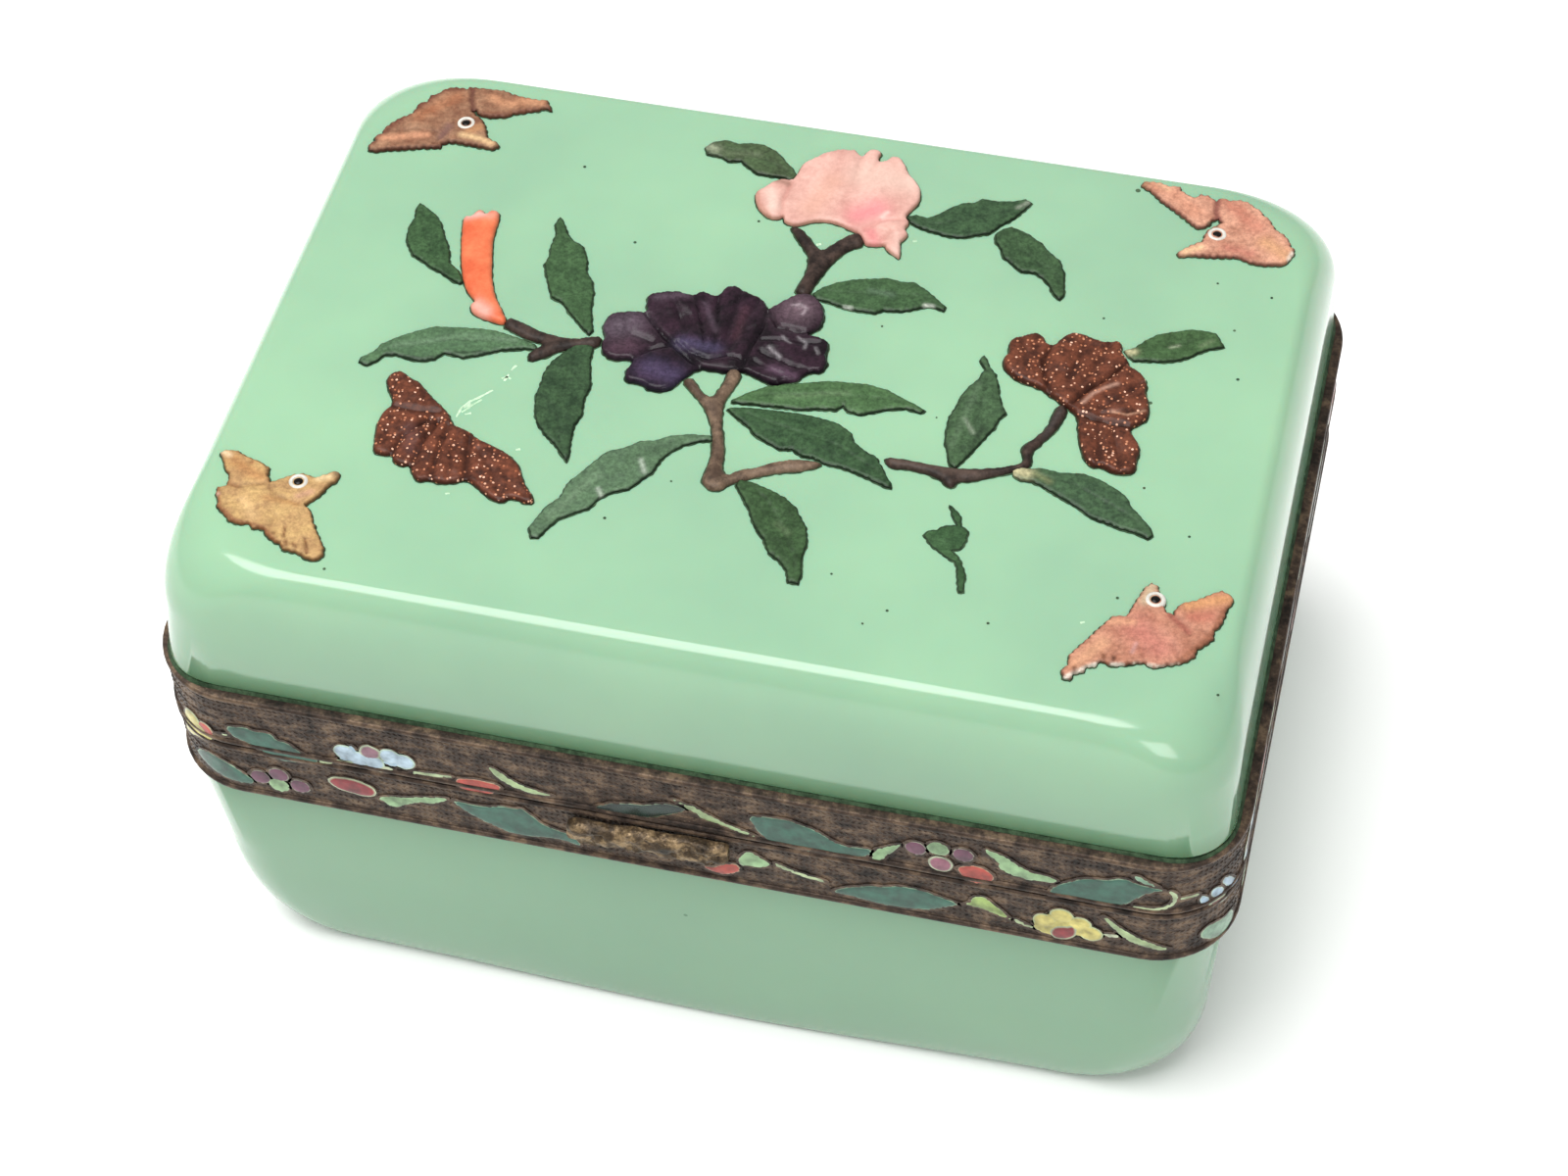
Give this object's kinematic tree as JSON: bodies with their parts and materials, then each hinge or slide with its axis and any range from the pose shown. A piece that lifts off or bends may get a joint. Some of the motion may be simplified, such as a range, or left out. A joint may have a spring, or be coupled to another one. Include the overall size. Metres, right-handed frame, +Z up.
{
  "type": "inlaid glass trinket box",
  "caption": "Lidded trinket box of moulded jade-green glass with enamelled brass rims and carved hardstone birds, blossoms and leaves laid on the lid.",
  "frame": {"origin": "on the surface the box stands on, under the middle of its plan", "axes": "+X along the long side to the right, +Y from the front with the thumb bar to the back, +Z up"},
  "size_m": [0.115, 0.0852, 0.0663],
  "materials": {
    "jade_glass": "polished",
    "dark_brass": "matte",
    "nephrite": "satin",
    "twig_stone": "satin",
    "coral": "satin",
    "amethyst": "polished",
    "rose_stone": "satin",
    "goldstone": "polished",
    "brown_soapstone": "satin",
    "pink_soapstone": "satin",
    "honey_soapstone": "satin",
    "eye_shell": "polished"
  },
  "bodies": {
    "root": {"base_glass": "jade_glass", "lid_glass": "jade_glass", "base_rim": "dark_brass", "lid_rim": "dark_brass", "thumb_bar": "dark_brass", "leaf_01": "nephrite", "leaf_02": "nephrite", "leaf_03": "nephrite", "leaf_04": "nephrite", "leaf_05": "nephrite", "leaf_06": "nephrite", "leaf_07": "nephrite", "leaf_08": "nephrite", "leaf_09": "nephrite", "leaf_10": "nephrite", "leaf_11": "nephrite", "leaf_12": "nephrite", "leaf_13": "nephrite", "leaf_14": "nephrite", "leaf_15": "nephrite", "leaf_fragment": "nephrite", "left_twig": "twig_stone", "upper_twig": "twig_stone", "main_branch": "twig_stone", "right_branch": "twig_stone", "coral_bar": "coral", "amethyst_blossom": "amethyst", "pink_blossom": "rose_stone", "goldstone_blossom": "goldstone", "butterfly": "goldstone", "back_left_bird": "brown_soapstone", "back_left_bird_eye": "eye_shell", "back_right_bird": "pink_soapstone", "back_right_bird_eye": "eye_shell", "front_left_bird": "honey_soapstone", "front_left_bird_eye": "eye_shell", "front_right_bird": "pink_soapstone", "front_right_bird_eye": "eye_shell"}
  },
  "joints": []
}
